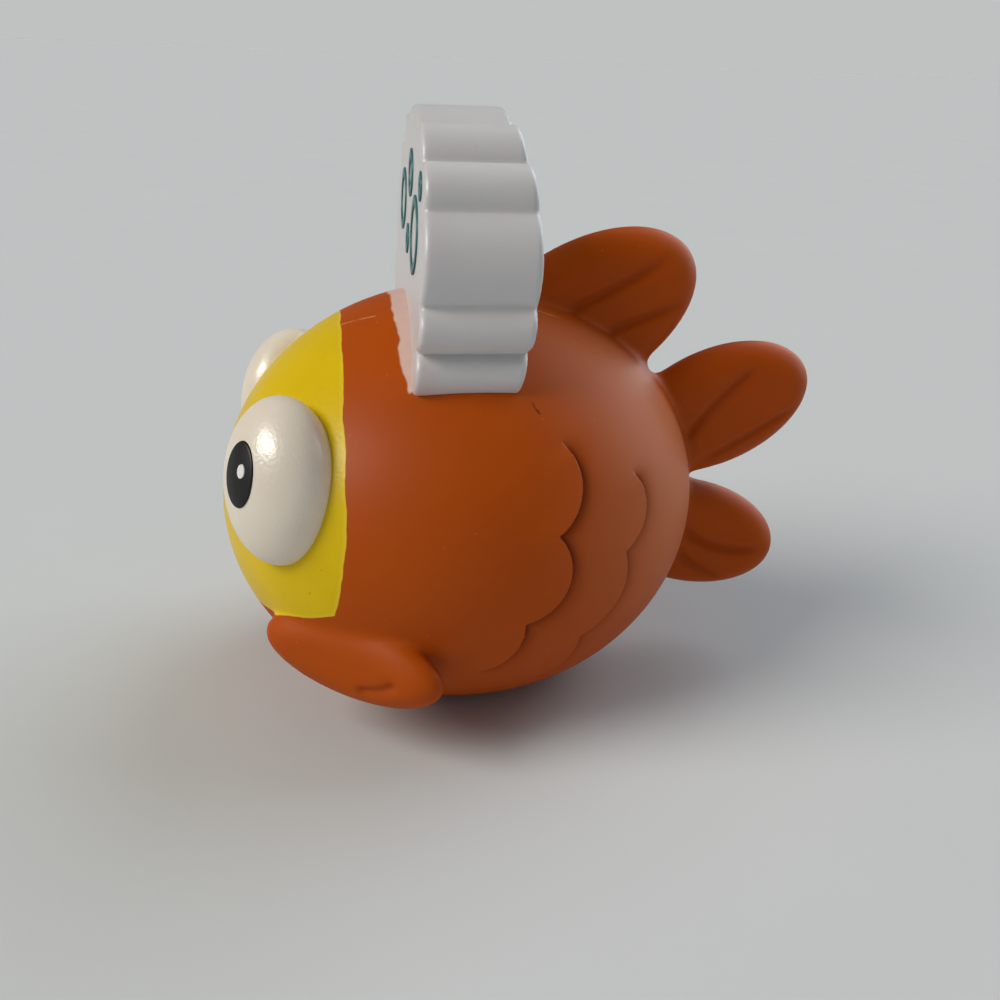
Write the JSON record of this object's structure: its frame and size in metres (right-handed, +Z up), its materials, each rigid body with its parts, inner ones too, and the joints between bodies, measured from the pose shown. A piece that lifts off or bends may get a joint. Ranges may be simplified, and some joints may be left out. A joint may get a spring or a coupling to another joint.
{
  "type": "squeaky bath toy",
  "caption": "Hollow soft vinyl goldfish for the bath, with bulging eyes, fins and a scalloped head badge, and a reed squeaker in its belly that sounds when its flanks are squeezed.",
  "frame": {"origin": "on the plane that the belly rests on, straight below the middle of the body", "axes": "-Y the way the fish faces, +X to the fish's left, +Z up"},
  "size_m": [0.052, 0.0752, 0.071],
  "materials": {
    "orange_vinyl": "satin soft vinyl",
    "white_vinyl": "glossy off-white coat on soft vinyl",
    "yellow_paint": "glossy sprayed coat",
    "black_paint": "glossy printed coat",
    "white_paint": "glossy printed coat",
    "teal_paint": "printed coat",
    "squeaker_plastic": "natural moulded",
    "reed_brass": "rolled strip"
  },
  "bodies": {
    "shell": {"body_shell": "orange_vinyl", "face_paint": "yellow_paint", "left_eye": "white_vinyl", "right_eye": "white_vinyl", "left_pupil": "black_paint", "right_pupil": "black_paint", "left_glint": "white_paint", "right_glint": "white_paint", "badge": "white_vinyl", "badge_print": "teal_paint", "dorsal_fin": "orange_vinyl", "upper_tail_fin": "orange_vinyl", "lower_tail_fin": "orange_vinyl", "left_pectoral_fin": "orange_vinyl", "right_pectoral_fin": "orange_vinyl", "squeaker_housing": "squeaker_plastic", "reed_block": "squeaker_plastic", "reed_clip": "squeaker_plastic"},
    "left_flank": {"left_flank": "orange_vinyl"},
    "right_flank": {"right_flank": "orange_vinyl"},
    "reed": {"reed": "reed_brass"}
  },
  "joints": [
    {"name": "left_squeeze", "type": "slide", "parent": "shell", "child": "left_flank", "axis": [-1, 0, 0], "range_m": [0, 0.008], "stiffness_N_per_m": 400},
    {"name": "right_squeeze", "type": "slide", "parent": "shell", "child": "right_flank", "axis": [1, 0, 0], "range_m": [0, 0.008], "stiffness_N_per_m": 400},
    {"name": "reed_buzz", "type": "hinge", "parent": "shell", "child": "reed", "pos_m": [0, 0, 0.0028], "axis": [0, 1, 0], "range_deg": [-4, 4], "stiffness_Nm_per_rad": 0.00002}
  ],
  "couplings": [
    {"joint": "right_squeeze", "follows": "left_squeeze", "ratio": 1}
  ]
}
